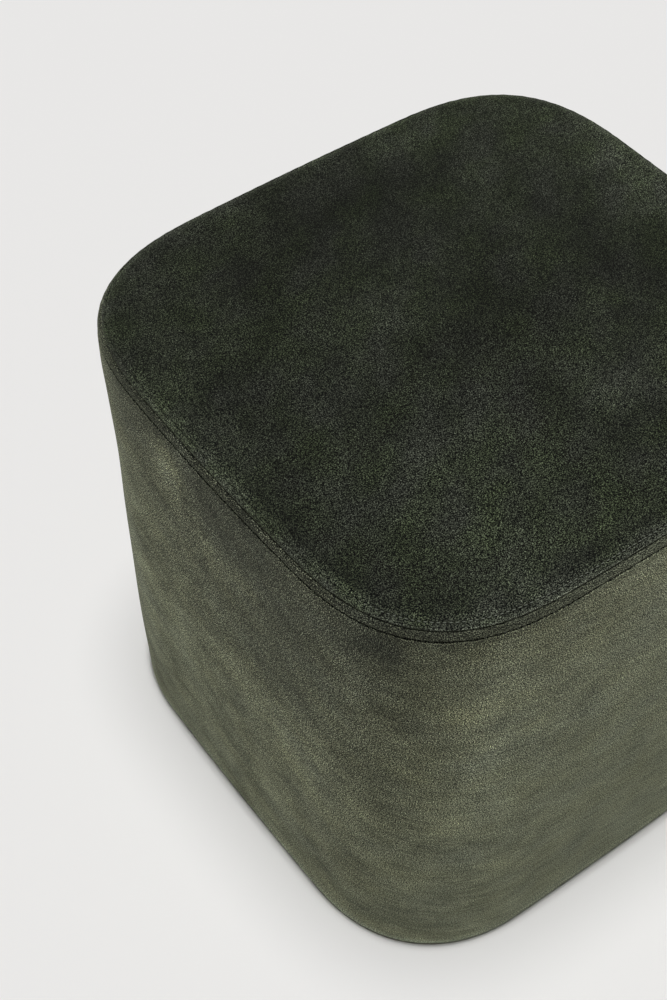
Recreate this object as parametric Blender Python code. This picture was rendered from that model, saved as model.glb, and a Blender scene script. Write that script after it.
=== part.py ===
"""Cube pouf stool: an upholstered cube with soft vertical corners.

Three sewn pieces, each one closed solid:
  top_panel   crowned, padded top, down to the seam on the edge roll
  side_band   filled wall, from the seam down to the edge that turns under at the floor
  base_panel  flat bottom cloth inside the turned-under edge

Metres, +Z up. The origin is on the floor under the middle of the stool.
Every piece is a loft of rings. A ring is the stool's outline at one height: a rectangle
whose corners are quarter superellipses and whose sides swell a little.
"""

import bmesh
import bpy
from math import cos, hypot, pi, sin

# ---- driving dimensions ----
WIDTH = 0.430              # along X, where the sides run into the corners
DEPTH = 0.420              # along Y, likewise
HEIGHT = 0.400             # floor to the top of the edge roll
CROWN = 0.004              # rise of the padded top above the edge roll, at its middle
SWELL = 0.0037             # how far the middle of each side stands out past its ends

EDGE_ROLL = 0.0184         # radius of the soft edge between top and sides
FOOT_ROLL = 0.0052         # radius of the turn where the band goes under the stool
SEAM_RISE = 0.0116         # from the foot of the edge roll up its arc to the seam
SEAM_DEPTH = 0.0012        # how far the seam draws the cloth in
SEAM_HALF_WIDTH = 0.0016   # from the bottom of the seam to where the cloth is full again
TOP_ROW = 0.0058           # from the seam to the row of topstitching above it
SIDE_ROW = 0.0064          # from the seam to the row of topstitching below it
ROW_DEPTH = 0.0005         # how far each stitch row draws the cloth in
ROW_HALF_WIDTH = 0.0015    # from the bottom of a stitch row to where the cloth is full again

TURN_UNDER = 0.0150        # width of the band's turned-under edge, seen from below
RIM_CLEARANCE = 0.0005     # the turned-under edge stays this far above the floor
BASE_THICKNESS = 0.0025    # bottom cloth with its hem
GAP = 0.0003               # air between neighbouring pieces

# Corner shape at the two ends of the wall: how far the curve runs along each side, and the
# exponent of its superellipse, where 2 is a round corner and more is a squarer one.
CORNERS = {
    "top": {"reach": 0.1306, "exponent": 2.73},
    "foot": {"reach": 0.1111, "exponent": 2.27},
}

# The wall is not plumb: it stands out under the seam, is drawn in above the middle and
# fills out again lower down. One row for each section: height above the floor, and how far
# the cloth stands out (+) or is drawn in (-) there.
WALL_SECTIONS = (
    # height, out
    (0.0450, 0.0003),
    (0.0850, 0.0005),
    (0.1300, 0.0004),
    (0.1750, 0.0000),
    (0.2150, -0.0006),
    (0.2550, -0.0011),
    (0.2900, -0.0010),
    (0.3200, -0.0004),
    (0.3450, 0.0003),
    (0.3650, 0.0005),
)
SHOULDER_OUT = 0.0003      # the same, where the wall runs into the edge roll

# The pad's rings from the edge roll to the middle, as fractions of the flat top's size.
CROWN_RINGS = (0.94, 0.84, 0.70, 0.52, 0.34, 0.16)

CORNER_STEPS = 14          # facets round each corner
SIDE_STEPS = 6             # facets along each side
FOOT_STEPS = 3             # facets round the foot roll
ROLL_STEPS = 3             # facets of the edge roll between the upper stitch row and the top

# ---- materials: colour, roughness ----
VELVET = {"color": (0.085, 0.089, 0.063, 1.0), "roughness": 0.9}
BASE_CLOTH = {"color": (0.012, 0.012, 0.012, 1.0), "roughness": 0.95}


def clear_scene():
    for obj in list(bpy.data.objects):
        bpy.data.objects.remove(obj, do_unlink=True)


def make_material(name, finish):
    material = bpy.data.materials.new(name)
    material.use_nodes = True
    shader = material.node_tree.nodes["Principled BSDF"]
    shader.inputs["Base Color"].default_value = finish["color"]
    shader.inputs["Roughness"].default_value = finish["roughness"]
    shader.inputs["Metallic"].default_value = 0.0
    return material


def corner_shape(height):
    """Reach and exponent of the corners at a height, blended from foot to top."""
    share = min(max(height / HEIGHT, 0.0), 1.0)
    foot, top = CORNERS["foot"], CORNERS["top"]
    return [foot[key] + share * (top[key] - foot[key]) for key in ("reach", "exponent")]


def corner(reach, exponent, quarter_turns):
    """One corner's points and outward normals: a quarter superellipse, turned into place."""
    side_x, side_y = ((1, 1), (-1, 1), (-1, -1), (1, -1))[quarter_turns]
    centre_x = side_x * (WIDTH / 2 - reach)
    centre_y = side_y * (DEPTH / 2 - reach)
    points = []
    for step in range(CORNER_STEPS + 1):
        angle = step / CORNER_STEPS * pi / 2
        cosine, sine = max(cos(angle), 0.0), max(sin(angle), 0.0)
        x, y = reach * cosine ** (2 / exponent), reach * sine ** (2 / exponent)
        normal_x, normal_y = cosine ** (2 - 2 / exponent), sine ** (2 - 2 / exponent)
        length = hypot(normal_x, normal_y)
        normal_x, normal_y = normal_x / length, normal_y / length
        for _ in range(quarter_turns):
            x, y = -y, x
            normal_x, normal_y = -normal_y, normal_x
        points.append((centre_x + x, centre_y + y, normal_x, normal_y))
    return points


def swell(x, y, normal_x, normal_y):
    """How far a side stands out at a point: all of SWELL at its middle, none at its ends."""
    across_x = cos(y / DEPTH * pi) ** 2
    across_y = cos(x / WIDTH * pi) ** 2
    return SWELL * (normal_x ** 2 * across_x + normal_y ** 2 * across_y)


def outline(height):
    """Points round the stool at a height, counter-clockwise, each with its outward normal."""
    reach, exponent = corner_shape(height)
    corners = [corner(reach, exponent, quarter_turns) for quarter_turns in range(4)]
    points = []
    for here, after in zip(corners, corners[1:] + corners[:1]):
        points += here
        start_x, start_y, normal_x, normal_y = here[-1]
        end_x, end_y = after[0][:2]
        for step in range(1, SIDE_STEPS):
            share = step / SIDE_STEPS
            x = start_x + share * (end_x - start_x)
            y = start_y + share * (end_y - start_y)
            points.append((x, y, normal_x, normal_y))
    return points


def ring(height, inset, scale=1.0, shape_height=None):
    """One ring of points: the swollen outline drawn in by inset, then scaled about the middle."""
    level = height if shape_height is None else shape_height
    points = []
    for x, y, normal_x, normal_y in outline(level):
        out = swell(x, y, normal_x, normal_y) - inset
        points.append(((x + normal_x * out) * scale, (y + normal_y * out) * scale, height))
    return points


def edge_roll(arc, draw_in=0.0):
    """Height and inset of the point that lies this far up the arc of the edge roll.

    draw_in pulls the point into the padding, square to the surface.
    """
    angle = arc / EDGE_ROLL
    radius = EDGE_ROLL - draw_in
    height = HEIGHT - EDGE_ROLL + radius * sin(angle)
    inset = EDGE_ROLL - radius * cos(angle) - SHOULDER_OUT * cos(angle)
    return height, inset


def loft(name, rings, material, collection, peak=None):
    """Closed solid through the rings, bottom first, with a fan of faces over each end.

    The upper fan rises to the height peak in its middle, or is flat.
    """
    mesh = bpy.data.meshes.new(name)
    solid = bmesh.new()
    loops = [[solid.verts.new(point) for point in points] for points in rings]
    count = len(loops[0])
    for lower, upper in zip(loops, loops[1:]):
        for here in range(count):
            after = (here + 1) % count
            solid.faces.new((lower[here], lower[after], upper[after], upper[here]))
    lowest, highest = rings[0][0][2], rings[-1][0][2]
    for loop, height in ((loops[0], lowest), (loops[-1], highest if peak is None else peak)):
        middle = solid.verts.new((0.0, 0.0, height))
        for here in range(count):
            solid.faces.new((loop[here], loop[(here + 1) % count], middle))
    bmesh.ops.recalc_face_normals(solid, faces=solid.faces)
    solid.to_mesh(mesh)
    solid.free()
    mesh.materials.append(material)
    mesh.shade_smooth()
    mesh.set_sharp_from_angle(angle=pi / 5)
    obj = bpy.data.objects.new(name, mesh)
    collection.objects.link(obj)
    return obj


def stitch_trough(row_arc):
    """Three points across a stitch row: full, drawn in, full."""
    return [
        edge_roll(row_arc - ROW_HALF_WIDTH),
        edge_roll(row_arc, ROW_DEPTH),
        edge_roll(row_arc + ROW_HALF_WIDTH),
    ]


def top_panel(material, collection):
    """The padded top: flat underneath, seam, stitch row, rest of the edge roll, crown."""
    seam_z, seam_inset = edge_roll(SEAM_RISE, SEAM_DEPTH)
    profile = [
        (seam_z + GAP / 2, seam_inset),
        edge_roll(SEAM_RISE + SEAM_HALF_WIDTH),
    ]
    profile += stitch_trough(SEAM_RISE + TOP_ROW)
    roll_start = SEAM_RISE + TOP_ROW + ROW_HALF_WIDTH
    roll_end = EDGE_ROLL * pi / 2
    for step in range(1, ROLL_STEPS + 1):
        profile.append(edge_roll(roll_start + step / ROLL_STEPS * (roll_end - roll_start)))

    rings = [ring(height, inset, shape_height=HEIGHT) for height, inset in profile]
    for scale in CROWN_RINGS:
        # the crown starts level with the edge roll and is flat again at its top
        height = HEIGHT + CROWN * (1 - scale ** 2) ** 2
        rings.append(ring(height, EDGE_ROLL, scale, HEIGHT))
    return loft("top_panel", rings, material, collection, peak=HEIGHT + CROWN)


def side_band(material, collection):
    """The filled wall: recess for the bottom cloth, turned-under edge, wall, stitch row, seam."""
    recess = BASE_THICKNESS + GAP
    profile = [(recess, TURN_UNDER), (RIM_CLEARANCE, TURN_UNDER)]
    for step in range(FOOT_STEPS + 1):
        angle = step / FOOT_STEPS * pi / 2
        height = RIM_CLEARANCE + FOOT_ROLL * (1 - cos(angle))
        profile.append((height, FOOT_ROLL * (1 - sin(angle))))
    profile += [(height, -out) for height, out in WALL_SECTIONS]
    profile.append(edge_roll(0.0))
    profile += stitch_trough(SEAM_RISE - SIDE_ROW)
    profile.append(edge_roll(SEAM_RISE - SEAM_HALF_WIDTH))
    seam_z, seam_inset = edge_roll(SEAM_RISE, SEAM_DEPTH)
    profile.append((seam_z - GAP / 2, seam_inset))
    rings = [ring(height, inset) for height, inset in profile]
    return loft("side_band", rings, material, collection)


def base_panel(material, collection):
    """The flat bottom cloth that the stool rests on."""
    edge = TURN_UNDER + GAP
    rings = [
        ring(0.0, edge, shape_height=0.0),
        ring(BASE_THICKNESS, edge, shape_height=0.0),
    ]
    return loft("base_panel", rings, material, collection)


def build():
    clear_scene()
    collection = bpy.data.collections.new("cube_pouf_stool")
    bpy.context.scene.collection.children.link(collection)
    velvet = make_material("velvet", VELVET)
    base_cloth = make_material("base cloth", BASE_CLOTH)
    top_panel(velvet, collection)
    side_band(velvet, collection)
    base_panel(base_cloth, collection)


build()
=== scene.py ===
import math
import bpy
import numpy as np
from mathutils import Matrix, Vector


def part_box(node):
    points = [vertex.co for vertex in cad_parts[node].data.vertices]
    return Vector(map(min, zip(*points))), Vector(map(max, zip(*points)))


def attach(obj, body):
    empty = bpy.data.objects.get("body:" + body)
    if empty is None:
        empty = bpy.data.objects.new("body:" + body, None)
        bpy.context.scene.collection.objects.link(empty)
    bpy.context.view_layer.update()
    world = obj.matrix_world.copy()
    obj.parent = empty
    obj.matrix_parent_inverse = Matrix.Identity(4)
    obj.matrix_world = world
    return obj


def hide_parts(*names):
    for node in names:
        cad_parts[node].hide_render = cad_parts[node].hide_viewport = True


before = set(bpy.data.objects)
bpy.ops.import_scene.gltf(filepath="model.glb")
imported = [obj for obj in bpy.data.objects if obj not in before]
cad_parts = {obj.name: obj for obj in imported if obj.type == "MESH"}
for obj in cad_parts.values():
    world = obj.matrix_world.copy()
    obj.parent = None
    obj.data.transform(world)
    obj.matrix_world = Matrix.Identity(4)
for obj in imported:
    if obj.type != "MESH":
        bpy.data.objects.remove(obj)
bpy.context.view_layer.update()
print("frame loaded:", ", ".join(sorted(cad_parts)))

bandLow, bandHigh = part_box("side_band")
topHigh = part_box("top_panel")[1]
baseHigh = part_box("base_panel")[1]

# the stool's form, metres; the overall sizes are read from the frame
pouf = {
    "swell": 0.0037,  # the middle of a side stands this far past its ends
    # share of the swell on the sides facing +x, +y, -x and -y, at the floor and at the top
    "floorSwell": (0.7, 0.7, 0.60, 0.60),
    "topSwell": (0.2, 0.75, 1.0, 1.0),
    "fullest": 0.0005,  # most that the frame's wall stands out of plumb
    "crown": 0.004,  # rise of the padded top above the edge roll
    "edgeRoll": 0.0184,  # radius between top and sides
    "footRoll": 0.0026,  # radius where the band turns under
    "turnUnder": 0.0150,  # width of the band's edge under the stool
    "rimClearance": 0.0005,  # turned-under edge above the floor
    "seamRise": 0.0116,  # from the foot of the edge roll up its arc to the seam
    "gap": 0.0003,  # between the two pieces inside the seam
    "topReach": 0.1306,  # how far a corner's curve runs along each side, at the top
    "topExponent": 2.73,  # exponent of that curve, 2 is round
    "footReach": 0.1111,  # the same at the floor
    "footExponent": 2.27,
    "closingX": -0.050,  # the band's closing seam, on the back
}
pouf["width"] = bandHigh.x - bandLow.x - 2 * (pouf["swell"] + pouf["fullest"])
pouf["depth"] = bandHigh.y - bandLow.y - 2 * (pouf["swell"] + pouf["fullest"])
pouf["height"] = topHigh.z - pouf["crown"]
rollLength = pouf["edgeRoll"] * math.pi / 2

# how the wall leaves the plumb line: height above the floor, how far it stands out, and how tall
wallBumps = {
    "under the seam": (0.362, 0.0006, 0.018),
    "drawn in": (0.268, -0.0012, 0.046),
    "fuller below": (0.090, 0.0005, 0.050),
    "drawn in at the floor": (0.0, -0.0012, 0.045),
}

stitching = {
    "stitches": 368,  # in each row, 4.4 mm apart
    "columns": 4,  # mesh columns for each stitch
    "topRow": 0.0058,  # from the seam up to the upper row, along the cloth
    "sideRow": -0.0064,  # from the seam down to the lower row
    "topDepth": 0.0008,  # how far a row draws the pile in
    "sideDepth": 0.0015,
    "rowSpread": 0.00060,  # half width of a row's channel
    "holes": (0.55, 0.45),  # share of its depth all along, and what a needle hole adds
    "seamDepth": 0.0019,
    "seamSpread": 0.00075,
    "welt": 0.00045,  # the folded allowances lift the cloth between seam and row
    "weltReach": 1.25,  # half the welt's width, as a share of half the way to the row
    "wander": 0.0010,  # the seam climbs and drops this much round the stool
    "wanderPeak": 0.41,  # where it is highest, as a share of the way round
    "pucker": 0.00016,  # height of the puckers that run off the rows
    "puckerStart": 0.4,  # they begin this share of the way from the seam to the row
    "puckerReach": 0.012,
    "puckerWaves": ((97, 0.6), (131, 2.9), (173, 4.4)),  # how many go round the stool, and phase
    "closingDepth": 0.0011,  # the band's own closing seam
    "closingSpread": 0.0022,
}
columnCount = stitching["stitches"] * stitching["columns"]

outlineSteps = {"corner": 161, "side": 42}  # points of the dense outline


# Dense outline at a height. Corners: x = reach cos(t)^(2/n), y = reach sin(t)^(2/n). Each point, also
# of the straight sides between them, is moved out along its normal by swell cos^2 of its place on the
# side, times the side's own share.
def denseOutline(height):
    share = min(max(height / pouf["height"], 0.0), 1.0)
    reach = pouf["footReach"] + share * (pouf["topReach"] - pouf["footReach"])
    power = pouf["footExponent"] + share * (pouf["topExponent"] - pouf["footExponent"])
    t = np.linspace(0, math.pi / 2, outlineSteps["corner"])
    cosine, sine = np.cos(t).clip(0), np.sin(t).clip(0)
    arc = np.column_stack([cosine ** (2 / power), sine ** (2 / power)]) * reach
    normal = np.column_stack([cosine ** (2 - 2 / power), sine ** (2 - 2 / power)])
    normal /= np.linalg.norm(normal, axis=1)[:, None]
    signs = np.array([(1, 1), (-1, 1), (-1, -1), (1, -1)])
    centres = signs * (np.array([pouf["width"], pouf["depth"]]) / 2 - reach)
    pieces = []
    for turn in range(4):
        spin = np.linalg.matrix_power(np.array([[0, 1], [-1, 0]]), turn)
        pieces.append(np.hstack([arc @ spin + centres[turn], normal @ spin]))
    ring = []
    step = np.linspace(0, 1, outlineSteps["side"])[1:-1, None]
    for here, after in zip(pieces, pieces[1:] + pieces[:1]):
        ring += [here, here[-1] * (1 - step) + after[0] * step]
    ring = np.vstack(ring)
    x, y, normalX, normalY = ring.T
    full = (1 - share) * np.array(pouf["floorSwell"]) + share * np.array(pouf["topSwell"])
    fullX = np.where(normalX > 0, full[0], full[2]) * normalX ** 2
    fullY = np.where(normalY > 0, full[1], full[3]) * normalY ** 2
    bulge = fullX * np.cos(y / pouf["depth"] * math.pi) ** 2
    bulge = bulge + fullY * np.cos(x / pouf["width"] * math.pi) ** 2
    ring[:, :2] += ring[:, 2:] * (pouf["swell"] * bulge)[:, None]
    return ring


# The outline's points at shares of its length, anticlockwise from the closing seam at the back, seen
# from above. Columns: x, y, normal x, normal y.
def outlineAt(height, shares):
    ring = denseOutline(height)
    loop = np.vstack([ring, ring[:1]])
    length = np.r_[0, np.cumsum(np.linalg.norm(np.diff(loop[:, :2], axis=0), axis=1))]
    atBack = np.where((loop[:, 1] > 0) & (loop[:, 3] > 0.999))[0]
    order = atBack[np.argsort(-loop[atBack, 0])]
    start = np.interp(-pouf["closingX"], -loop[order, 0], length[order])
    along = (start + np.asarray(shares) * length[-1]) % length[-1]
    return np.column_stack([np.interp(along, length, loop[:, k]) for k in range(4)])


def evenShares(count):
    return np.arange(count) / count


topLoop = np.vstack([outlineAt(pouf["height"], evenShares(columnCount))] * 2)[: columnCount + 1]
perimeter = np.linalg.norm(np.diff(topLoop[:, :2], axis=0), axis=1).sum()


# Wall drift: a sum of Gaussian bumps over the height.
def wallDrift(height):
    return sum(
        out * np.exp(-(((height - middle) / spread) ** 2))
        for middle, out, spread in wallBumps.values()
    )


# low waves in the wall's padding: how many go round, phase, how many half waves up, lift, metres
paddingWaves = (
    (3, 0.7, 1.5, 0.2, 0.00030),
    (5, 2.1, 2.0, 1.3, 0.00022),
    (8, 4.0, 1.0, 2.2, 0.00014),
    (11, 1.2, 3.0, 0.5, 0.00010),
    (17, 5.1, 4.0, 1.9, 0.00006),
)


# Their sum: size times a sine round the stool times a sine up the wall, none at floor and top.
def wallWaves(shares, height):
    rise = height / pouf["height"]
    total = 0
    for around, phase, up, lift, size in paddingWaves:
        turn = np.sin(2 * math.pi * around * shares + phase + 1.5 * rise * lift)
        total = total + size * turn * np.sin(math.pi * up * rise + lift)
    return total * np.clip(np.sin(math.pi * rise), 0, 1) ** 0.5


# The closing seam at the back draws the band in: -depth exp(-|distance| / spread).
def closingDitch(shares):
    apart = np.minimum(shares, 1 - shares) * perimeter
    return -stitching["closingDepth"] * np.exp(-apart / stitching["closingSpread"])


# The seam climbs and drops twice round the stool: wander cos(4 pi (share - peak)).
def seamWander(shares):
    return stitching["wander"] * np.cos(4 * math.pi * (shares - stitching["wanderPeak"]))


# The sewing as a height over the plain skin. The seam is a ditch, -depth exp(-|d| / spread). A row is
# a channel, -depth exp(-(d / spread)^2), deeper at each needle hole. Between them the folded allowance
# lifts the cloth, and short puckers run off the row.
def sewnRelief(shares, fromSeam, row, depth):
    toRow = fromSeam - row
    least, more = stitching["holes"]
    holes = least + more * np.cos(math.pi * shares * stitching["stitches"]) ** 2
    ditch = -stitching["seamDepth"] * np.exp(-np.abs(fromSeam) / stitching["seamSpread"])
    channel = -depth * holes * np.exp(-((toRow / stitching["rowSpread"]) ** 2))
    halfWelt = abs(row) / 2 * stitching["weltReach"]
    welt = stitching["welt"] * np.exp(-(((fromSeam - row / 2) / halfWelt) ** 4))
    ripple = sum(
        np.sin(2 * math.pi * many * shares + phase) for many, phase in stitching["puckerWaves"]
    )
    past = np.clip(np.abs(fromSeam) - abs(row) * stitching["puckerStart"], 0, None)
    pucker = stitching["pucker"] * ripple / 2 * np.exp(-past / stitching["puckerReach"])
    pucker = pucker * np.clip(np.abs(fromSeam) / abs(row), 0, 1)
    return ditch + channel + welt + pucker


# The plain skin near the top edge: up the wall, round the edge roll, then level and inwards.
# arc is the length from the foot of the edge roll. Returns points and unit normals.
def skinPoint(outline, arc, over):
    roll = pouf["edgeRoll"]
    angle = np.clip(arc / roll, 0, math.pi / 2)
    height = pouf["height"] - roll + roll * np.sin(angle) + np.minimum(arc, 0)
    inset = roll * (1 - np.cos(angle)) + np.maximum(arc - rollLength, 0)
    inset = inset - wallDrift(height) * np.cos(angle)
    x, y, normalX, normalY = outline
    outX, outY, outZ = normalX * np.cos(angle), normalY * np.cos(angle), np.sin(angle)
    return np.stack([
        x - normalX * inset + outX * over,
        y - normalY * inset + outY * over,
        height + outZ * over,
    ], axis=-1)


# Points at one height, moved out along the outline's normals.
def levelRing(outline, out, height):
    x, y, normalX, normalY = outline
    return np.column_stack([x + normalX * out, y + normalY * out, np.full(len(x), height)])


def marksAt(shares, up):
    return np.column_stack([shares * perimeter, np.full(len(shares), up)])


# where rings of points lie, mm: beside the seam, and across a row of stitches
besideSeam = (0.0, 0.1, 0.3, 0.6, 1.0, 1.5, 2.2, 3.0)
acrossRow = (-2.4, -1.7, -1.15, -0.75, -0.45, -0.22, 0, 0.22, 0.45, 0.75, 1.15, 1.7, 2.6)


# The same in metres from the seam. side is 1 above it and -1 below it.
def sewnOffsets(row, side, others=()):
    beside = [side * 0.001 * k for k in besideSeam]
    across = [row + side * 0.001 * k for k in acrossRow]
    return sorted(set(np.round([*others, *beside, *across], 6)))


def newSurface():
    return {"points": [], "marks": [], "faces": [], "count": 0}


def addPoints(surface, points, marks):
    start = surface["count"]
    surface["points"].append(points)
    surface["marks"].append(np.broadcast_to(marks, (len(points), 2)))
    surface["count"] += len(points)
    return np.arange(start, surface["count"])


# Faces between two rings: four-sided, or five-sided where one ring has twice the other's points. The
# rings run anticlockwise and the first lies outside or below.
def joinRings(surface, first, second):
    if len(first) == len(second):
        faces = np.column_stack([first, np.roll(first, -1), np.roll(second, -1), second])
    elif len(first) == 2 * len(second):
        a, b, c = first[0::2], first[1::2], np.roll(first, -1)[1::2]
        faces = np.column_stack([a, b, c, np.roll(second, -1), second])
    else:
        a, b, c = second[0::2], second[1::2], np.roll(second, -1)[1::2]
        faces = np.column_stack([first, np.roll(first, -1), c, b, a])
    surface["faces"] += faces.tolist()


def gridFaces(index):
    corners = [index[:-1, :-1], index[1:, :-1], index[1:, 1:], index[:-1, 1:]]
    return np.stack(corners, axis=-1).reshape(-1, 4)


def levelAt(height):
    return lambda flat, m: np.full(m.shape, height)


tiny = 1e-9  # rounding


# Fills a ring of 4N points with an N by N patch. A point at (a, b) in the square from -1 to 1 is the
# rim's point in its direction, scaled by m = max(|a|, |b|).
def fillRing(surface, rim, rimPoints, heightOf, flip=False):
    size = len(rim) // 4
    corner = int(np.argmax(rimPoints[:, 0] - rimPoints[:, 1]))
    a, b = np.meshgrid(*[np.linspace(-1, 1, size + 1)] * 2, indexing="ij")
    m = np.maximum(np.abs(a), np.abs(b))
    safe = np.where(m > 0, m, 1)
    ua, ub = a / safe, b / safe
    place = np.where(ua >= 1 - tiny, (ub + 1) / 2, 0.0)
    place = np.where((ub >= 1 - tiny) & (ua < 1 - tiny), 1 + (1 - ua) / 2, place)
    place = np.where((ua <= -1 + tiny) & (ub < 1 - tiny), 2 + (1 - ub) / 2, place)
    place = np.where((ub <= -1 + tiny) & (np.abs(ua) < 1 - tiny), 3 + (ua + 1) / 2, place)
    index = (corner + place * size) % len(rim)
    low = np.floor(index + tiny).astype(int)
    part = np.clip(index - low, 0, 1)[..., None]
    low, high = low % len(rim), (low + 1) % len(rim)
    flat = (rimPoints[low, :2] * (1 - part) + rimPoints[high, :2] * part) * m[..., None]
    edge = m >= 1 - tiny
    grid = np.zeros(m.shape, int)
    grid[edge] = rim[np.round(index[edge]).astype(int) % len(rim)]
    grid[~edge] = addPoints(surface, np.dstack([flat, heightOf(flat, m)])[~edge], (0.0, 1.0))
    quads = gridFaces(grid)
    surface["faces"] += (quads[:, ::-1] if flip else quads).tolist()


# The hidden closing of a piece inside the seam, from below where under is set: rings that step inwards
# with fewer points, the last one level, and a level patch.
insideRings = ((0.004, 2), (0.012, 4), (0.030, 8))  # how far in, and one point of how many
halfSize = 0.2  # about half the stool's width


def closeInside(surface, ring, points, up, under=False):
    for inset, every in insideRings:
        count = columnCount // every
        scale = 1 - inset / halfSize
        inner = points[:: len(points) // count] * [scale, scale, 1]
        if every == insideRings[-1][1]:
            inner[:, 2] = points[:, 2].mean()
        innerRing = addPoints(surface, inner, marksAt(evenShares(count), up))
        joinRings(surface, *((innerRing, ring) if under else (ring, innerRing)))
        ring, points = innerRing, inner
    fillRing(surface, ring, points, levelAt(points[:, 2].mean()), flip=under)


def addObject(name, data):
    thing = bpy.data.objects.new(name, data)
    bpy.context.scene.collection.objects.link(thing)
    return thing


# Puts a surface into a mesh object. marks become the UV map, in metres along and up the cloth; a
# face that crosses the closing seam takes one whole turn more on its far side.
def makePiece(name, surface, material, turn=None):
    mesh = bpy.data.meshes.new(name)
    mesh.from_pydata(np.vstack(surface["points"]).tolist(), [], surface["faces"])
    marks = np.vstack(surface["marks"])
    corners = np.zeros(len(mesh.loops), dtype=np.int32)
    mesh.loops.foreach_get("vertex_index", corners)
    starts = np.zeros(len(mesh.polygons), dtype=np.int32)
    mesh.polygons.foreach_get("loop_start", starts)
    places = marks[corners].copy()
    if turn:
        widest = np.maximum.reduceat(places[:, 0], starts)
        totals = np.zeros(len(mesh.polygons), dtype=np.int32)
        mesh.polygons.foreach_get("loop_total", totals)
        far = np.repeat(widest, totals) - places[:, 0] > turn / 2
        places[far, 0] += turn
    layer = mesh.uv_layers.new(name="cloth")
    layer.data.foreach_set("uv", places.astype(np.float32).ravel())
    mesh.materials.append(material)
    mesh.shade_smooth()
    return addObject(name, mesh)


# A surface's points, their shares of the way round, and how far up the cloth they lie.
def clothPlaces(surface):
    along, up = np.vstack(surface["marks"]).T
    return np.vstack(surface["points"]), along / perimeter, up


def hexColour(text):
    parts = [int(text[k : k + 2], 16) / 255 for k in (1, 3, 5)]
    linear = [p / 12.92 if p <= 0.04045 else ((p + 0.055) / 1.055) ** 2.4 for p in parts]
    return (*linear, 1.0)


# Links each socket to the node's input of that name, and sets the inputs that get plain values.
def feed(tree, node, inputs):
    for key, value in inputs.items():
        if isinstance(value, bpy.types.NodeSocket):
            tree.links.new(value, node.inputs[key])
        else:
            node.inputs[key].default_value = value


def addNode(tree, kind, inputs=None, **settings):
    node = tree.nodes.new("ShaderNode" + kind)
    for key, value in settings.items():
        setattr(node, key, value)
    feed(tree, node, inputs or {})
    return node


# The normal that a height field gives a surface.
def relief(tree, height, depth):
    return addNode(tree, "Bump", {"Height": height, "Distance": depth}).outputs[0]


def newMaterial(name):
    material = bpy.data.materials.new(name)
    material.use_nodes = True
    tree = material.node_tree
    return material, tree, tree.nodes["Principled BSDF"]


# Cut velvet: a short dense pile of dull polyester, pressed about by hands. Pile that leans away from
# the eye looks light and pile that leans towards it dark, so one dye shows dark on the top and olive
# on the sides; the colour carries this as painted shade on the top and painted sheen on the sides.
# Each tuft catches the light by itself, which gives the speckled grain: a painted highlight in each
# tuft's middle and painted shade in the gap round it, over a random tone for each tuft.
velvet = {
    "sheen": 0.08,
    "sheenTint": "#f8ffda",
    "sheenRoughness": 0.5,
    "roughness": 0.9,
    "specular": 0.15,
    "tuft": 0.38,  # mm, drawn coarser than the real 0.3, so that it shows
    "tuftDepth": 0.10,
    "tuftContrast": 4.0,  # how much one tuft differs from the next
    "tuftGain": 2.3,
    "tuftFall": (-2.6, 2.2, 1.7),  # painted highlight and shade from a tuft's middle out: slope, start and most
    "darkest": 0.15,  # the deepest mark leaves this share of the lightness
    "markRoughness": 0.68,
    "tintPatch": (45, 30, 2, 0.5),  # patches of the two tints: mm along and across, octaves, roughness
}
# The tints are the cloth's colour where napAndPaintedLight is 1. Patterns: size along and across the
# nap in mm, octaves, share in the lightness, depth in mm, and whether it is fainter where hands have
# left the cloth alone.
topVelvetLook = {
    "tints": ("#5b664b", "#5e6356"),
    "drift": 3.0,  # how much the tint drifts between the two
    # the top's usual lightness, painted dark: painted shade of velvet seen from above
    "usualNapAndPaintedLight": 0.16,
    "middle": 0.5,  # share of the second tint where napAndPaintedLight is usual
    "greyer": 1.5,  # and how much more of it where napAndPaintedLight is 1 off, so painted light turns the tint greyer
    "speck": 0.55,  # share of the tufts' own specks that shows
    "grain": (0.73, 0.73, 14.0),  # size along and across the nap in mm, and share in the lightness
    "turn": (0.5, 0.35, 0.6),  # how the patterns are turned, radians
    "patterns": {
        "clouds": (90, 90, 1, 0.6, 0.0, True),
        "hand marks": (50, 42, 4, 2.0, 0.35, True),
    },
}
sideVelvetLook = {
    "tints": ("#62644d", "#606455"),
    "drift": 1.1,
    "usualNapAndPaintedLight": 1.3,
    "middle": 0.42,
    "greyer": 0.45,
    "speck": 0.50,
    "grain": (0.88, 0.64, 9.6),
    "turn": (0.0, 0.0, -0.12),
    "patterns": {
        "clouds": (110, 100, 1, 0.8, 0.0, True),
        "hand marks": (44, 36, 3, 1.9, 0.35, True),
        "brushed lines": (30, 2.0, 1, 1.15, 0.06, False),
    },
}
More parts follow.
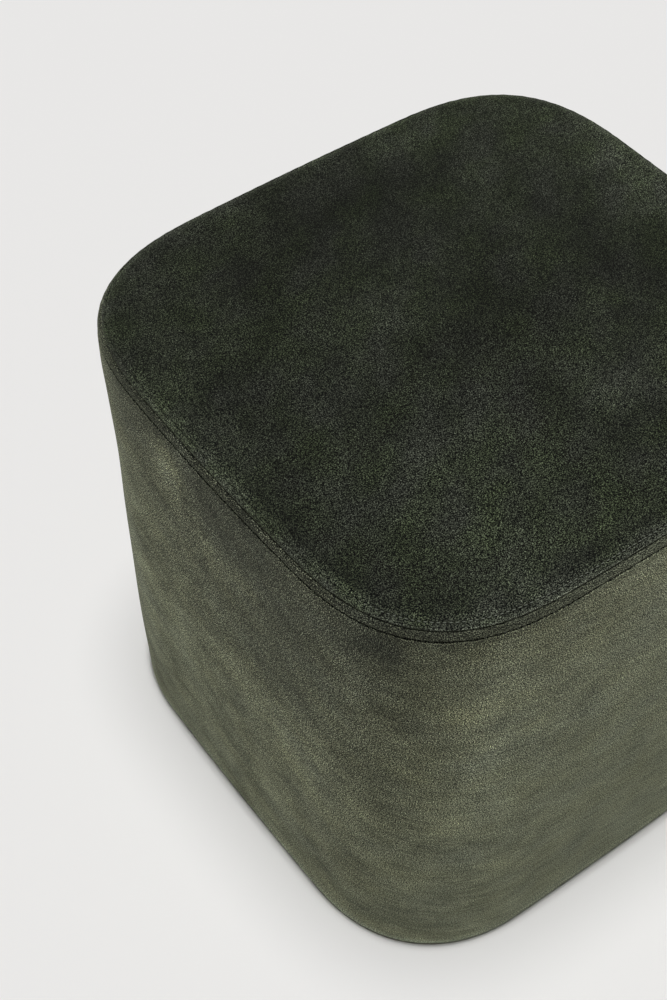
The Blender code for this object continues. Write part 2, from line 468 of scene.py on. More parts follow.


# Lightness = napAndPaintedLight (1 + the sum of share (noise - 1/2), times worn for marks by hands)
# times the tuft's own 1 + crisp speck (gain between (1/2 + contrast (random - 1/2)) - 1), where between
# falls from the tuft's middle to the gap round it as painted highlight and painted shade, times the
# grain,
# 1 + crisp share (noise - 1/2). It scales a mix of two tints: the second one's share is middle + drift
# (noise - 1/2) + greyer |napAndPaintedLight - usual napAndPaintedLight|, so painted light also greys
# the tint.
def makeVelvet(name, look, flat):
    material, tree, shader = newMaterial(name)
    where = addNode(tree, "TexCoord").outputs["Object" if flat else "UV"]

    def stretched(along, across):
        return addNode(tree, "Mapping", {
            "Vector": where, "Rotation": look["turn"],
            "Scale": (along / 1000, across / 1000, across / 1000),
        }, vector_type="TEXTURE").outputs[0]

    def noiseOf(along, across, octaves, roughness):
        return addNode(tree, "TexNoise", {
            "Vector": stretched(along, across), "Scale": 1.0, "Detail": octaves, "Roughness": roughness,
        }).outputs[0]

    def maths(operation, *values):
        return addNode(tree, "Math", dict(enumerate(values)), operation=operation).outputs[0]

    # a noise or chance, about its middle
    def about(value):
        return maths("SUBTRACT", value, 0.5)

    napAndPaintedLight, crisp, worn = (
        addNode(tree, "Attribute", attribute_name=key).outputs["Fac"]
        for key in ("napAndPaintedLight", "crisp", "worn")
    )
    lightness = 1.0
    height = 0.0
    for along, across, octaves, share, depth, byHands in look["patterns"].values():
        noise = noiseOf(along, across, octaves, velvet["markRoughness"])
        mark = maths("MULTIPLY", about(noise), worn if byHands else 1.0)
        lightness = maths("MULTIPLY_ADD", mark, share, lightness)
        height = maths("MULTIPLY_ADD", noise, depth / 1000, height)
    tufts = addNode(tree, "TexVoronoi", {
        "Vector": stretched(velvet["tuft"], velvet["tuft"]), "Scale": 1.0,
    })
    chance = addNode(tree, "SeparateXYZ", {0: tufts.outputs["Color"]}).outputs[0]
    slope, begin, most = velvet["tuftFall"]
    # between: a painted highlight in each tuft's middle, falling to painted shade in the gap round it
    between = maths("MULTIPLY_ADD", tufts.outputs["Distance"], slope, begin)
    between = maths("MAXIMUM", maths("MINIMUM", between, most), 0.0)
    speck = maths("MULTIPLY_ADD", about(chance), velvet["tuftContrast"], 0.5)
    speck = maths("MAXIMUM", maths("MINIMUM", speck, 1.0), 0.0)
    speck = maths("MULTIPLY", maths("MULTIPLY", speck, velvet["tuftGain"]), between)
    speck = maths("MULTIPLY", maths("SUBTRACT", speck, 1.0), look["speck"])
    speck = maths("MAXIMUM", maths("MULTIPLY_ADD", speck, crisp, 1.0), 0.0)
    along, across, share = look["grain"]
    grain = maths("MULTIPLY", about(noiseOf(along, across, 0.0, 0.5)), share)
    grain = maths("MAXIMUM", maths("MULTIPLY_ADD", grain, crisp, 1.0), 0.0)
    lightness = maths("MULTIPLY", maths("MAXIMUM", lightness, velvet["darkest"]), napAndPaintedLight)
    lightness = maths("MULTIPLY", maths("MULTIPLY", speck, grain), lightness)
    height = maths("MULTIPLY_ADD", tufts.outputs["Distance"], -velvet["tuftDepth"] / 1000, height)

    drift = about(noiseOf(*velvet["tintPatch"]))
    drift = maths("MULTIPLY_ADD", drift, look["drift"], look["middle"])
    unusual = maths("ABSOLUTE", maths("SUBTRACT", napAndPaintedLight, look["usualNapAndPaintedLight"]))
    drift = maths("MULTIPLY_ADD", unusual, look["greyer"], drift)
    tint = addNode(tree, "Mix", {
        "Factor": drift, 6: hexColour(look["tints"][0]), 7: hexColour(look["tints"][1]),
    }, data_type="RGBA").outputs[2]
    colour = addNode(tree, "VectorMath", {0: tint, "Scale": lightness}, operation="SCALE").outputs[0]
    feed(tree, shader, {
        "Base Color": colour, "Normal": relief(tree, height, 1.0), "Roughness": velvet["roughness"],
        "Specular IOR Level": velvet["specular"], "Sheen Weight": velvet["sheen"],
        "Sheen Roughness": velvet["sheenRoughness"], "Sheen Tint": hexColour(velvet["sheenTint"]),
    })
    return material


# Stores at each point its lightness, from nap marks with painted sheen and painted shade, how
# strongly its grain shows, and how strongly hands have marked it.
def combPile(piece, napAndPaintedLight, crisp, worn):
    for key, values in (("napAndPaintedLight", napAndPaintedLight), ("crisp", crisp), ("worn", worn)):
        layer = piece.data.attributes.new(key, "FLOAT", "POINT")
        layer.data.foreach_set("value", np.asarray(values, dtype=np.float32))


# Lighter and darker patches, nap marks and painted sheen and shade: the sum of strength exp(-d^4) over
# the broad patches, which have a flat middle, and of strength exp(-d^2) over the soft ones, where d is
# the distance over the size.
def patchSum(places, patches):
    total = np.zeros(len(places))
    for kind, power in (("broad", 4), ("soft", 2)):
        for x, y, wide, tall, strength in patches[kind]:
            apart = np.sqrt((((places - (x, y)) / (wide, tall)) ** 2).sum(axis=1))
            total = total + strength * np.exp(-(apart ** power))
    return total


# A smooth step: 0 below low, 1 above high, t^2 (3 - 2t) between them.
def blendStep(value, low, high):
    part = np.clip((value - low) / (high - low), 0, 1)
    return part * part * (3 - 2 * part)


# 1 at the middle and less away from it: exp(-(|distance| / reach)^power).
def bell(value, middle, reach, power=2):
    return np.exp(-((np.abs(value - middle) / reach) ** power))


# A value, more or less of it round one place: value (1 + share bell).
def marked(value, at, middle, reach, share, power=2):
    return value * (1 + share * bell(at, middle, reach, power))


sewnEdge = {
    "catches": (0.47, 0.145, 6),  # it catches light on the side facing -y and the front corner
    "calmer": (0, 0.0080, -0.15, 4),  # and its stretched cloth has less grain
}


def catchAt(shares):
    return bell(shares, *sewnEdge["catches"])


def nearSeam(fromSeam):
    return marked(1, fromSeam, *sewnEdge["calmer"])


# Polyester sewing thread, twisted from plies about 0.26 mm apart: a soft shine, broken by the twist.
threadLook = {"colour": "#7f8577", "roughness": 0.5, "twist": 1200.0, "depth": 0.0001}
# Black bottom cloth, bonded from fibres with a grain of about 1 mm: flat and matt.
baseLook = {"colours": ("#0e0e0e", "#262626"), "roughness": 0.9, "grain": 900.0, "depth": 0.0003}


def makeThread():
    material, tree, shader = newMaterial("polyester sewing thread")
    where = addNode(tree, "TexCoord").outputs["UV"]
    twist = addNode(tree, "TexWave", {
        "Vector": where, "Scale": threadLook["twist"],
    }, bands_direction="DIAGONAL")
    feed(tree, shader, {
        "Base Color": hexColour(threadLook["colour"]), "Roughness": threadLook["roughness"],
        "Normal": relief(tree, twist.outputs[1], threadLook["depth"]),
    })
    return material


def makeBaseCloth():
    material, tree, shader = newMaterial("black bottom cloth")
    where = addNode(tree, "TexCoord").outputs["Object"]
    noise = addNode(tree, "TexNoise", {
        "Vector": where, "Scale": baseLook["grain"], "Detail": 3,
    })
    ramp = addNode(tree, "ValToRGB", {"Fac": noise.outputs[0]})
    for element, colour in zip(ramp.color_ramp.elements, baseLook["colours"]):
        element.color = hexColour(colour)
    feed(tree, shader, {
        "Base Color": ramp.outputs[0], "Roughness": baseLook["roughness"],
        "Normal": relief(tree, noise.outputs[0], baseLook["depth"]),
    })
    return material


topVelvet = makeVelvet("cut velvet, top", topVelvetLook, True)
sideVelvet = makeVelvet("cut velvet, sides", sideVelvetLook, False)
threadMaterial = makeThread()
baseMaterial = makeBaseCloth()
print("materials made")


# where the band's rings of points lie
sideRows = {
    "footSteps": 6,
    "wallSteps": 66,
    "wallEnd": 0.012,  # the wall's even rings end this far under the edge roll
    "fromFoot": (-8.0, -4.0, -0.5, 2.5),  # the next ones, mm up the cloth from the roll's foot
    "wanderStart": (0.020, 0.012),  # the seam's wander begins this far below it, and grows over this
    "recessRings": ((2, 0.98), (4, 0.96)),  # under it: one point of how many, and share of the size
}


def makeSideBand():
    band = newSurface()
    halfShares, shares = evenShares(columnCount // 2), evenShares(columnCount)
    rim, roll = pouf["rimClearance"], pouf["footRoll"]
    shoulder = pouf["height"] - pouf["edgeRoll"]
    foot, seam = rim + roll, pouf["seamRise"]
    recess = baseHigh.z + pouf["gap"]

    def wallRing(height, inset, up):
        out = -inset
        if inset <= roll:
            out = out + wallDrift(height)
        if height > foot - tiny:
            out = out + wallWaves(halfShares, height) + closingDitch(halfShares)
        points = levelRing(outlineAt(height, halfShares).T, out, height)
        return addPoints(band, points, marksAt(halfShares, up))

    under = -(pouf["turnUnder"] + roll * (math.pi / 2 - 1))
    rings = [wallRing(recess, pouf["turnUnder"], under - recess)]
    rings.append(wallRing(rim, pouf["turnUnder"], under))
    for k in range(sideRows["footSteps"] + 1):
        angle = k / sideRows["footSteps"] * math.pi / 2
        height = rim + roll * (1 - math.cos(angle))
        rings.append(wallRing(height, roll * (1 - math.sin(angle)), roll * (angle - math.pi / 2)))
    for height in np.linspace(foot, shoulder - sideRows["wallEnd"], sideRows["wallSteps"])[1:]:
        rings.append(wallRing(height, 0.0, height - foot))

    lowRings = [0.001 * k - seam for k in sideRows["fromFoot"]]
    outline = outlineAt(shoulder, shares).T
    wander = seamWander(shares)
    wanderStart, wanderReach = sideRows["wanderStart"]
    for fromSeam in sewnOffsets(stitching["sideRow"], -1, lowRings):
        arc = seam + fromSeam + wander * np.clip((fromSeam + wanderStart) / wanderReach, 0, 1)
        over = sewnRelief(shares, fromSeam, stitching["sideRow"], stitching["sideDepth"])
        height = np.minimum(shoulder + arc, pouf["height"])
        over = over + wallWaves(shares, height) + closingDitch(shares)
        points = skinPoint(outline, arc, over)
        up = shoulder - foot + arc
        rings.append(addPoints(band, points, marksAt(shares, up)))
    for first, second in zip(rings, rings[1:]):
        joinRings(band, first, second)
    closeInside(band, rings[-1], points, up.mean())

    # the underside over the bottom cloth
    ring, lowest = rings[0], np.vstack(band["points"])[rings[0]]
    for every, share in sideRows["recessRings"]:
        inner = lowest[::every] * [share, share, 1]
        innerRing = addPoints(band, inner, (0.0, under))
        joinRings(band, innerRing, ring)
        ring = innerRing
    fillRing(band, ring, inner, levelAt(recess), flip=True)
    return makePiece("sideBand", band, sideVelvet, perimeter), band


# The band's lightness: nap pressed or brushed, painted sheen on the sides, painted shade under the seam
# and painted light at the floor. The patches: centre, as share of the way round and metres above the
# floor, size likewise, and strength.
sideNapAndPaintedLight = {
    # the sides painted light: painted sheen of velvet seen from the side
    "napAndPaintedLight": 1.36,
    "foot": 0.40,  # painted light, lighter by this at the floor against its shade
    "turned": 2.8,  # and painted light by this where the cloth turns under, in shade
    "broad": [
        (0.5, 0.2, 0.145, 0.5, 0.3),  # painted sheen, lighter on the side facing -y
        (0.115, 0.18, 0.03, 0.24, 0.28),  # painted sheen where it turns away on the left
        (0.184, 0.35, 0.014, 0.026, 0.45),  # a light thumb mark
    ],
    "soft": [
        (0.373, 0.25, 0.016, 0.16, 0.26),  # light fold of nap beside the front corner
        (0.23, 0.377, 0.066, 0.044, -0.58),  # painted shade under the seam, facing -x
        # more painted shade under the seam, further right
        (0.324, 0.374, 0.026, 0.034, -0.46), (0.4, 0.366, 0.048, 0.024, -0.2),
        # darker high on the left: pressed nap and painted shade
        (0.28, 0.306, 0.04, 0.07, -0.45), (0.21, 0.27, 0.04, 0.07, -0.2),
        (0.15, 0.372, 0.027, 0.06, -0.38), (0.34, 0.294, 0.025, 0.07, -0.17),
        (0.27, 0.246, 0.04, 0.024, -0.17), (0.325, 0.228, 0.016, 0.024, -0.2),
        # and lighter lower down: brushed nap and painted sheen
        (0.275, 0.186, 0.025, 0.024, 0.26), (0.2, 0.186, 0.01, 0.024, 0.2),
        (0.195, 0.108, 0.04, 0.07, 0.18), (0.14, 0.156, 0.016, 0.07, 0.23),
        (0.345, 0.06, 0.025, 0.07, 0.13), (0.185, 0.012, 0.025, 0.024, 0.26),
        (0.275, 0.054, 0.01, 0.014, 0.41), (0.37, 0.12, 0.01, 0.04, 0.2),
        (0.4, 0.258, 0.04, 0.024, 0.15), (0.425, 0.054, 0.04, 0.07, -0.09),
        (0.25, 0.282, 0.04, 0.07, -0.11), (0.305, 0.372, 0.04, 0.024, -0.1),
        (0.355, 0.336, 0.016, 0.04, -0.16), (0.17, 0.288, 0.016, 0.07, -0.09),
        (0.21, 0.222, 0.04, 0.024, -0.09), (0.26, 0.192, 0.01, 0.024, 0.22),
        (0.145, 0.09, 0.04, 0.024, 0.13), (0.33, 0.144, 0.01, 0.014, 0.26),
        # the two sides away from the camera
        (0.64, 0.37, 0.07, 0.04, -0.35), (0.7, 0.18, 0.06, 0.08, 0.18), (0.83, 0.3, 0.05, 0.07, -0.22),
        (0.94, 0.12, 0.06, 0.07, 0.2), (0.06, 0.34, 0.05, 0.05, -0.25),
    ],
    "footFade": (0.02, 0.0030),  # how far up the two painted lightenings at the floor reach
    "strip": 0.47,  # lightness of the folded strip between the seam and the lower row, painted dark: painted shade
    "stripMarks": 0.6,  # and the share of the patches that shows on it
    "stripEnd": (0.0015, 0.0160),  # it goes over into the wall's lay between these, below the seam
    "limits": (0.04, 3),
    # painted shade in the row's channel, a painted highlight on the cloth under it, and darker along
    # the closing seam: where, half width and share added
    "groove": (stitching["sideRow"], 0.00055, -0.55),
    "lip": (stitching["sideRow"] - 0.0014, 0.0006, 0.30),
    "closing": (0, 0.0018, -0.5),
    # the grain: at the floor, and what it gains by a share of the height
    "crisp": (0.40, 0.60, 0.9),
    "crisper": (0.24, 0.09, 0.8, 4),  # more on the side facing -x
    "tidier": (0.50, 0.120, -0.65, 4),  # fewer marks by hands on the side facing -y
}


# The band's lightness: the wall's patches with painted light at the floor, going over into the strip's
# painted shade below the seam, then its marks: painted shade in the channel, a painted highlight under
# it.
def napAndPaintedLightOfBand(around, aboveFloor, fromSeam):
    patches = patchSum(np.column_stack([around, aboveFloor]), sideNapAndPaintedLight)
    footFade, turnedFade = sideNapAndPaintedLight["footFade"]
    foot = 1 + sideNapAndPaintedLight["foot"] * np.exp(-aboveFloor / footFade)
    foot = foot + sideNapAndPaintedLight["turned"] * bell(aboveFloor, 0, turnedFade)
    wall = (1 + patches) * sideNapAndPaintedLight["napAndPaintedLight"] * foot
    strip = sideNapAndPaintedLight["strip"] * (1 + sideNapAndPaintedLight["stripMarks"] * patches)
    napAndPaintedLight = strip + (wall - strip) * blendStep(-fromSeam, *sideNapAndPaintedLight["stripEnd"])
    napAndPaintedLight = marked(napAndPaintedLight, fromSeam, *sideNapAndPaintedLight["groove"])
    napAndPaintedLight = marked(napAndPaintedLight, fromSeam, *sideNapAndPaintedLight["lip"])
    napAndPaintedLight = marked(napAndPaintedLight, np.minimum(around, 1 - around) * perimeter, *sideNapAndPaintedLight["closing"])
    return np.clip(napAndPaintedLight, *sideNapAndPaintedLight["limits"])


def crispOfBand(around, aboveFloor, fromSeam):
    least, gain, until = sideNapAndPaintedLight["crisp"]
    crisp = (least + gain * blendStep(aboveFloor / pouf["height"], 0.0, until)) * nearSeam(fromSeam)
    return marked(crisp, around, *sideNapAndPaintedLight["crisper"])


sideBand, band = makeSideBand()
bandPoints, around, up = clothPlaces(band)
aboveFloor = bandPoints[:, 2]
seamUp = pouf["height"] - pouf["edgeRoll"] - pouf["rimClearance"] - pouf["footRoll"] + pouf["seamRise"]
fromSeam = up - seamUp - seamWander(around)
combPile(
    sideBand, napAndPaintedLightOfBand(around, aboveFloor, fromSeam), crispOfBand(around, aboveFloor, fromSeam),
    marked(1, around, *sideNapAndPaintedLight["tidier"]),
)
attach(sideBand, "root")
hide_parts("side_band")
print("side band:", len(sideBand.data.polygons), "faces")


topRows = {
    "rollSteps": 7,
    "wanderEnd": (0.0173, 0.009),  # the seam's wander ends this far above it, and fades over this
}


# low waves in the padded top: radians a metre along x and y, phase, metres
topPaddingWaves = (
    (28, 11, 0.4, 0.00025),
    (-15, 36, 2.0, 0.00020),
    (47, -29, 4.1, 0.00012),
    (60, 64, 1.1, 0.00008),
)


# Their sum, which fades out towards the edge: 1 - m^4.
def topWaves(x, y, m):
    waves = [size * np.sin(kx * x + ky * y + phase) for kx, ky, phase, size in topPaddingWaves]
    return sum(waves) * (1 - m ** 4)


padding = {
    "every": 2,  # the simulated net has every second point of the top's grid
    "pressure": 4,
    "slack": 0.004,  # the cloth is cut this much larger than its frame
    "frames": 20,
}


# Cloth simulation of the top: a net of the cloth, held at its rim, is blown up from below. Its heights
# are read back for the whole grid, as shares of the highest.
def puffedShare(flat, m):
    every, count = padding["every"], len(m)
    places = flat[::every, ::every]
    size = len(places)
    index = np.arange(size * size).reshape(size, size)
    points = np.dstack([places, np.zeros((size, size))]).reshape(-1, 3)
    mesh = bpy.data.meshes.new("pad net")
    mesh.from_pydata(points.tolist(), [], gridFaces(index).tolist())
    net = addObject("pad net", mesh)
    scene = bpy.context.scene
    sewn = net.vertex_groups.new(name="sewn")
    sewn.add(index[m[::every, ::every] > 1 - tiny].tolist(), 1.0, "REPLACE")
    cloth = net.modifiers.new("cloth", "CLOTH")
    cloth.point_cache.frame_start = 1
    cloth.point_cache.frame_end = padding["frames"]
    settings = cloth.settings
    settings.vertex_group_mass = "sewn"
    settings.use_pressure = True
    settings.uniform_pressure_force = padding["pressure"]
    settings.shrink_min = -padding["slack"]
    settings.bending_stiffness = 0.05
    settings.effector_weights.gravity = 0
    for frameNumber in range(1, padding["frames"] + 1):
        scene.frame_set(frameNumber)
    puffed = net.evaluated_get(bpy.context.evaluated_depsgraph_get()).data
    heights = np.zeros(size * size * 3, dtype=np.float32)
    puffed.vertices.foreach_get("co", heights)
    heights = heights.reshape(size, size, 3)[..., 2]
    bpy.data.objects.remove(net)
    bpy.data.meshes.remove(mesh)
    scene.frame_set(1)
    coarse, fine = np.linspace(0, 1, size), np.linspace(0, 1, count)
    heights = np.array([np.interp(fine, coarse, row) for row in heights])
    heights = np.array([np.interp(fine, coarse, column) for column in heights.T]).T
    return np.clip(heights / heights.max(), 0, 1)


# The crown: its rise times the simulated share times (1 - m^8), so that it leaves the edge roll level.
def crownHeight(flat, m):
    crown = pouf["crown"] * puffedShare(flat, m) * (1 - m ** 8)
    return pouf["height"] + crown + topWaves(flat[..., 0], flat[..., 1], m)


def makeTop():
    top = newSurface()
    shares = evenShares(columnCount)
    seam = pouf["seamRise"]
    outline = outlineAt(pouf["height"], shares).T
    wander = seamWander(shares)
    wanderEnd, wanderReach = topRows["wanderEnd"]

    # flatten takes the seam's wander and the relief away, and every thins the points
    def topRing(fromSeam, flatten=0.0, every=1):
        fade = np.clip((wanderEnd - fromSeam) / wanderReach, 0, 1)
        arc = seam + fromSeam + wander * fade * (1 - flatten)
        relief = sewnRelief(shares, fromSeam, stitching["topRow"], stitching["topDepth"])
        points = skinPoint(outline, arc, relief * (1 - flatten))[::every]
        return points, addPoints(top, points, marksAt(shares, arc)[::every])

    offsets = sewnOffsets(stitching["topRow"], 1)
    made = [topRing(fromSeam) for fromSeam in offsets]
    for k in range(1, topRows["rollSteps"] + 1):
        share = k / topRows["rollSteps"]
        fromSeam = offsets[-1] + share * (rollLength - seam - offsets[-1])
        made.append(topRing(fromSeam, share, 1 if k < 2 else 2))
    for (_, below), (_, above) in zip(made, made[1:]):
        joinRings(top, below, above)
    fillRing(top, made[-1][1], made[-1][0], crownHeight)

    # the seam's own ring is lifted by the gap, and the flat underside is hidden inside it
    top["points"][0] = made[0][0] + [0, 0, pouf["gap"]]
    closeInside(top, made[0][1], top["points"][0], seam, under=True)
    return makePiece("topCushion", top, topVelvet, perimeter), top


# The top's lightness: nap pressed or brushed, painted shade over the whole top, painted sheen along its
# far edge and a painted highlight beside the seam; centre and size in metres across it.
topNapAndPaintedLight = {
    # the top painted dark: painted shade of velvet seen from above
    "napAndPaintedLight": 0.123,
    "broad": [],
    "soft": [
        # lighter nap in the near half
        (-0.06, -0.125, 0.13, 0.07, 0.45), (-0.1, -0.19, 0.12, 0.028, 0.2),
        (-0.07, 0.025, 0.034, 0.03, 0.28), (0.03, 0.0, 0.048, 0.036, -0.28),
        (0.02, 0.15, 0.075, 0.03, -0.4),
        # painted sheen along the +x edge
        (0.186, 0.05, 0.028, 0.07, 0.8), (0.15, 0.1, 0.06, 0.07, 0.22), (0.2, 0.07, 0.014, 0.07, 0.5),
        (-0.06, 0.196, 0.1, 0.012, 0.3), (0.073, -0.04, 0.022, 0.02, 0.35),
        (-0.01, -0.1, 0.02, 0.024, -0.28), (-0.13, -0.16, 0.06, 0.02, 0.18),
        (0.09, 0.187, 0.06, 0.02, 0.6), (0.075, 0.1, 0.025, 0.022, 0.25),
        (0.03, -0.103, 0.024, 0.022, 0.5), (-0.1, 0.112, 0.028, 0.028, -0.25),
        (-0.165, 0.125, 0.03, 0.04, 0.22), (-0.045, -0.022, 0.03, 0.018, -0.15),
        (0.112, 0.0, 0.028, 0.045, -0.22), (0.0, -0.062, 0.024, 0.02, -0.22),
        (0.072, -0.008, 0.014, 0.014, -0.25), (0.196, 0.166, 0.016, 0.022, -0.6),
        (-0.19, -0.115, 0.028, 0.028, -0.25), (-0.026, -0.105, 0.035, 0.06, -0.22),
        (-0.116, -0.18, 0.022, 0.022, 0.75), (-0.2, 0.036, 0.02, 0.028, 0.45),
        (-0.152, 0.141, 0.06, 0.06, -0.15), (0.064, -0.105, 0.035, 0.022, 0.36),
        (0.028, -0.027, 0.035, 0.022, -0.17), (0.16, 0.081, 0.06, 0.014, 0.26),
        (0.016, 0.123, 0.035, 0.06, -0.09), (-0.134, -0.069, 0.022, 0.035, 0.2),
        (-0.05, 0.021, 0.014, 0.022, 0.31), (0.166, 0.147, 0.035, 0.014, 0.29),
        (0.004, -0.141, 0.014, 0.06, -0.2), (-0.062, -0.051, 0.022, 0.022, -0.21),
        (-0.05, 0.111, 0.06, 0.014, -0.11), (-0.164, 0.147, 0.035, 0.014, -0.2),
        (-0.074, -0.177, 0.022, 0.06, -0.17), (0.112, 0.045, 0.022, 0.022, -0.17),
        (-0.076, -0.199, 0.022, 0.014, -0.45), (-0.204, -0.124, 0.016, 0.016, -0.35),
        (0.11, -0.14, 0.05, 0.04, 0.2),
    ],
    # the strip between the seam and the upper row: painted sheen of the roll, lighter than the
    # painted-dark top
    "strip": 0.36,
    "stripEnd": (0.003, 0.014),
    "shaded": (0.135, 0.030, -0.5),  # painted shade: the strip is darker at the left corner
    # painted shade in the upper row's channel
    "groove": (stitching["topRow"], 0.0006, -0.45),
    "lip": (0.72, 0.0015, 0.0005),  # painted highlight beside the seam: how much lighter, where and half width
    "lipFades": (0.6, 0.40, 0.44),  # the lip is fainter past the front corner: less by, from, to
    "limits": (0.02, 3),
}


# The top's lightness: its patches, going over into the strip's lightness above the seam, with a painted
# highlight beside the seam where it catches light, and painted shade in the row's channel.
def napAndPaintedLightOfTop(points, around, fromSeam):
    pad = topNapAndPaintedLight["napAndPaintedLight"] * (1 + patchSum(points[:, :2], topNapAndPaintedLight))
    strip = marked(topNapAndPaintedLight["strip"], around, *topNapAndPaintedLight["shaded"])
    napAndPaintedLight = strip + (pad - strip) * blendStep(fromSeam, *topNapAndPaintedLight["stripEnd"])
    lip, above, lipWidth = topNapAndPaintedLight["lip"]
    less, begin, end = topNapAndPaintedLight["lipFades"]
    caught = lip * catchAt(around) * (1 - less * blendStep(around, begin, end))
    napAndPaintedLight = napAndPaintedLight + caught * bell(fromSeam, above, lipWidth)
    return np.clip(marked(napAndPaintedLight, fromSeam, *topNapAndPaintedLight["groove"]), *topNapAndPaintedLight["limits"])


topCushion, top = makeTop()
topPoints, around, up = clothPlaces(top)
fromSeam = up - pouf["seamRise"] - seamWander(around)
topTone = napAndPaintedLightOfTop(topPoints, around, fromSeam)
combPile(topCushion, topTone, nearSeam(fromSeam), np.ones(len(topTone)))
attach(topCushion, "root")
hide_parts("top_panel")
print("top:", len(topCushion.data.polygons), "faces")


# the topstitching
thread = {
    "radius": 0.00034,
    "sides": 6,
    "steps": 7,
    "bridge": 0.66,  # share of the stitch length that shows between two needle holes
    "sink": 0.0009,  # how deep the ends go into the pile
    "taper": (1.25, 0.3),  # share of the radius that it shrinks from, and the least
    "seat": (0.4, 0.5),  # a stitch lies this share of the row's depth down and of its radius up
    "tension": ((0.00006, 2.4), (0.00005, 0.61)),  # uneven pull: metres, and radians a stitch
    "topLift": (-0.00105, 0.00115),  # height over the pile where the row lies in shade and in light
    "sideLift": (-0.00120, -0.00100),
}


# A row of stitches. Each is a bowed tube between two needle holes, with t from 0 to 1 along it: lift -
# sink (2t - 1)^4 over the channel, with its radius times 1.25 - (2t - 1)^6, at least 0.3, at most 1.
def makeStitches(name, row, depth, lifts, level):
    count, sides, steps = stitching["stitches"], thread["sides"], thread["steps"]
    t = np.linspace(0, 1, steps)
    shares = (np.arange(count)[:, None] + 0.5 + (t - 0.5) * thread["bridge"]) / count
    flat = shares.ravel()
    arc = pouf["seamRise"] + row + seamWander(flat)
    lift = lifts[0] + (lifts[1] - lifts[0]) * catchAt(flat)
    tension = sum(size * np.sin(np.arange(count) * turn) for size, turn in thread["tension"])
    down, up = thread["seat"]
    over = sewnRelief(flat, np.full_like(flat, row), row, depth * down) + thread["radius"] * up
    over = over + lift + np.repeat(tension, steps) - thread["sink"] * np.tile((2 * t - 1) ** 4, count)
    outline, nudge = outlineAt(level, flat % 1.0).T, 0.001
    spine = skinPoint(outline, arc, over).reshape(count, steps, 3)
    above = skinPoint(outline, arc, over + nudge).reshape(count, steps, 3)
    up = (above - spine) / nudge
    along = np.gradient(spine, axis=1)
    along /= np.linalg.norm(along, axis=2, keepdims=True)
    across = np.cross(along, up)
    begin, least = thread["taper"]
    radius = thread["radius"] * np.clip(begin - (2 * t - 1) ** 6, least, 1)
    angle = np.arange(sides) / sides * 2 * math.pi
    ring = (
        np.cos(angle)[None, None, :, None] * up[:, :, None]
        + np.sin(angle)[None, None, :, None] * across[:, :, None]
    )
    points = spine[:, :, None] + ring * radius[None, :, None, None]
    index = np.arange(count * steps * sides).reshape(count, steps, sides)
    nextSide = np.roll(index, -1, axis=2)
    quads = np.stack([index[:, :-1], index[:, 1:], nextSide[:, 1:], nextSide[:, :-1]], axis=-1)
    faces = quads.reshape(-1, 4).tolist() + index[:, 0].tolist() + index[:, -1, ::-1].tolist()
    along, round = (shares * perimeter)[:, :, None], (angle * thread["radius"])[None, None, :]
    marks = np.stack(np.broadcast_arrays(along, round), axis=-1).reshape(-1, 2)
    stitches = {"points": [points.reshape(-1, 3)], "marks": [marks], "faces": faces}
    return makePiece(name, stitches, threadMaterial)


topStitches = makeStitches(
    "topStitches", stitching["topRow"], stitching["topDepth"], thread["topLift"], pouf["height"],
)
sideStitches = makeStitches(
    "sideStitches", stitching["sideRow"], stitching["sideDepth"], thread["sideLift"],
    pouf["height"] - pouf["edgeRoll"],
)
for row in (topStitches, sideStitches):
    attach(row, "root")
print("stitches:", len(topStitches.data.polygons) + len(sideStitches.data.polygons), "faces")

bottomCloth = {
    # its edge, how far in from the outline and how high: the taut middle, the hem on the floor, the top
    "profile": (
        (0.0420, 0.00095), (0.0310, 0.00090), (0.0296, 0.00078), (0.0288, 0.00040),
        (0.0282, 0.00008), (0.0272, 0.0), (0.0262, 0.00002), (0.0257, 0.00030),
        (0.0252, 0.00002), (0.0242, 0.0), (0.0200, 0.0), (0.0168, 0.0), (0.0159, 0.00022),
        (0.0154, 0.00070), (0.0153, 0.0013), (0.0155, 0.0020), (0.0161, 0.0024),
        (0.0171, 0.0025), (0.0420, 0.0025),
    ),
    "ripples": ((47, 0.7), (71, 2.2)),  # how many run in from the hem all round, and phase
    "ripple": 0.00012,
    "sagWaves": ((21, 0.4), (17, 1.1)),  # radians a metre along x and along y, and phase
    "sag": 0.00018,
}


# The middle's height: its own, plus (1 - m^8) times ripple m^6 sines of the angle and slow sag waves.
def baseSag(flat, m):
    angle = np.arctan2(flat[..., 1], flat[..., 0])
    ripple = sum(np.sin(many * angle + phase) for many, phase in bottomCloth["ripples"])
    (alongX, phaseX), (alongY, phaseY) = bottomCloth["sagWaves"]
    slow = np.sin(alongX * flat[..., 0] + phaseX) * np.sin(alongY * flat[..., 1] + phaseY)
    move = bottomCloth["ripple"] * ripple * m ** 6 + bottomCloth["sag"] * slow
    return bottomCloth["profile"][0][1] + (1 - m ** 8) * move


def makeBase():
    base = newSurface()
    shares = evenShares(columnCount // 4)
    outline = outlineAt(0.0, shares).T
    rings = []
    for inset, height in bottomCloth["profile"]:
        rings.append(addPoints(base, levelRing(outline, -inset, height), marksAt(shares, inset)))
    for first, second in zip(rings, rings[1:]):
        joinRings(base, first, second)
    low, high = base["points"][0], base["points"][-1]
    fillRing(base, rings[0], low, baseSag, flip=True)
    fillRing(base, rings[-1], high, levelAt(baseHigh.z))
    return makePiece("baseCloth", base, baseMaterial)


baseCloth = makeBase()
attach(baseCloth, "root")
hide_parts("base_panel")
print("base cloth:", len(baseCloth.data.polygons), "faces")

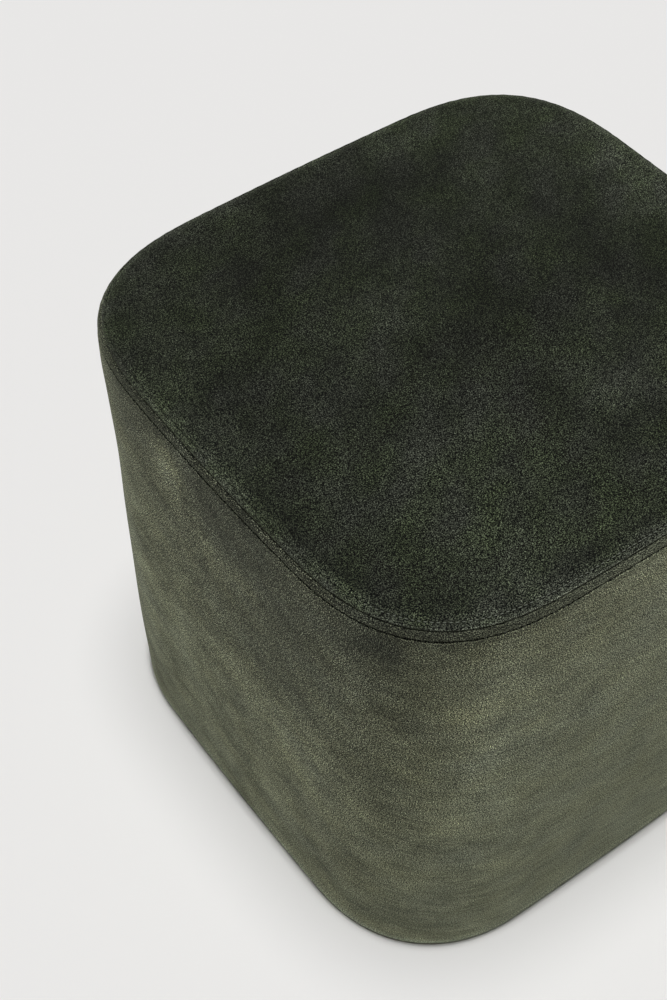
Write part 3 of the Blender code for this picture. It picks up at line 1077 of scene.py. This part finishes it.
# a seamless paper sweep under an overhead lamp and a softbox
studio = {
    "floorHalf": 30.0,
    "floorColour": "#e9e8e7",
    "floorRoughness": 0.9,
    "floorShine": 0.2,
    "lights": {  # each with its power and how wide it is seen from the floor, degrees
        "overhead lamp": (1.37, 1.5),
        "softbox": (1.67, 20.0),
    },
    "airStrength": 0.028,
    "wallColour": "#e8e7e4",  # what the camera sees past the floor
}


def makeFloor():
    material, tree, shader = newMaterial("matt paper sweep")
    feed(tree, shader, {
        "Base Color": hexColour(studio["floorColour"]), "Roughness": studio["floorRoughness"],
        "Specular IOR Level": studio["floorShine"],
    })
    half = studio["floorHalf"]
    corners = [(-half, -half, 0), (half, -half, 0), (half, half, 0), (-half, half, 0)]
    mesh = bpy.data.meshes.new("floor")
    mesh.from_pydata(corners, [], [(0, 1, 2, 3)])
    mesh.materials.append(material)
    floor = addObject("floor", mesh)


# Both lights shine straight down. The air lights the stool a little, and only the camera sees the wall.
def makeLights():
    for name, (power, spread) in studio["lights"].items():
        light = bpy.data.lights.new(name, "SUN")
        light.energy = power
        light.angle = math.radians(spread)
        addObject(name, light)
    world = bpy.data.worlds.new("studio air")
    world.use_nodes = True
    tree = world.node_tree
    background = tree.nodes["Background"]
    feed(tree, background, {"Color": (1.0, 1.0, 1.0, 1.0), "Strength": studio["airStrength"]})
    wall = addNode(tree, "Background", {
        "Color": hexColour(studio["wallColour"]), "Strength": 1.0,
    })
    seen = addNode(tree, "LightPath").outputs["Is Camera Ray"]
    both = addNode(tree, "MixShader", {
        0: seen, 1: background.outputs[0], 2: wall.outputs[0],
    })
    feed(tree, tree.nodes["World Output"], {0: both.outputs[0]})
    bpy.context.scene.world = world
    bpy.context.scene.view_settings.view_transform = "Standard"


# degrees, metres and millimetres
camera = {
    "azimuth": -41.583,
    "elevation": 50.047,
    "distance": 1.3587,  # from the stool's axis at aimHeight
    "aimRight": -0.09910,  # the camera looks this far beside that point
    "aimUp": 0.00262,
    "aimHeight": 0.19995,
    "roll": -1.325,
    "lens": 64.52,
}


# The directions to the right in the picture, level, and up in it, for a camera that looks along -back.
def viewAxes(back):
    side = np.cross([0, 0, 1], back)
    side /= np.linalg.norm(side)
    return side, np.cross(back, side)


# The camera stands its distance from the axis, in the direction of azimuth and elevation. It looks at
# a point that is moved right and up in the picture, and is then turned by its roll.
def makeCamera():
    around, up = math.radians(camera["azimuth"]), math.radians(camera["elevation"])
    back = np.array([math.sin(around) * math.cos(up), -math.cos(around) * math.cos(up), math.sin(up)])
    aim = np.array([0.0, 0.0, camera["aimHeight"]])
    place = aim + back * camera["distance"]
    side, rise = viewAxes(back)
    aim = aim + side * camera["aimRight"] + rise * camera["aimUp"]
    back = (place - aim) / np.linalg.norm(place - aim)
    side, rise = viewAxes(back)
    turn = math.radians(camera["roll"])
    cosine, sine = math.cos(turn), math.sin(turn)
    side, rise = cosine * side + sine * rise, cosine * rise - sine * side
    data = bpy.data.cameras.new("camera")
    data.lens = camera["lens"]
    holder = addObject("camera", data)
    matrix = np.eye(4)
    matrix[:3] = np.column_stack([side, rise, back, place])
    holder.matrix_world = Matrix(matrix.tolist())
    bpy.context.scene.camera = holder


makeFloor()
makeLights()
makeCamera()
print("studio set")
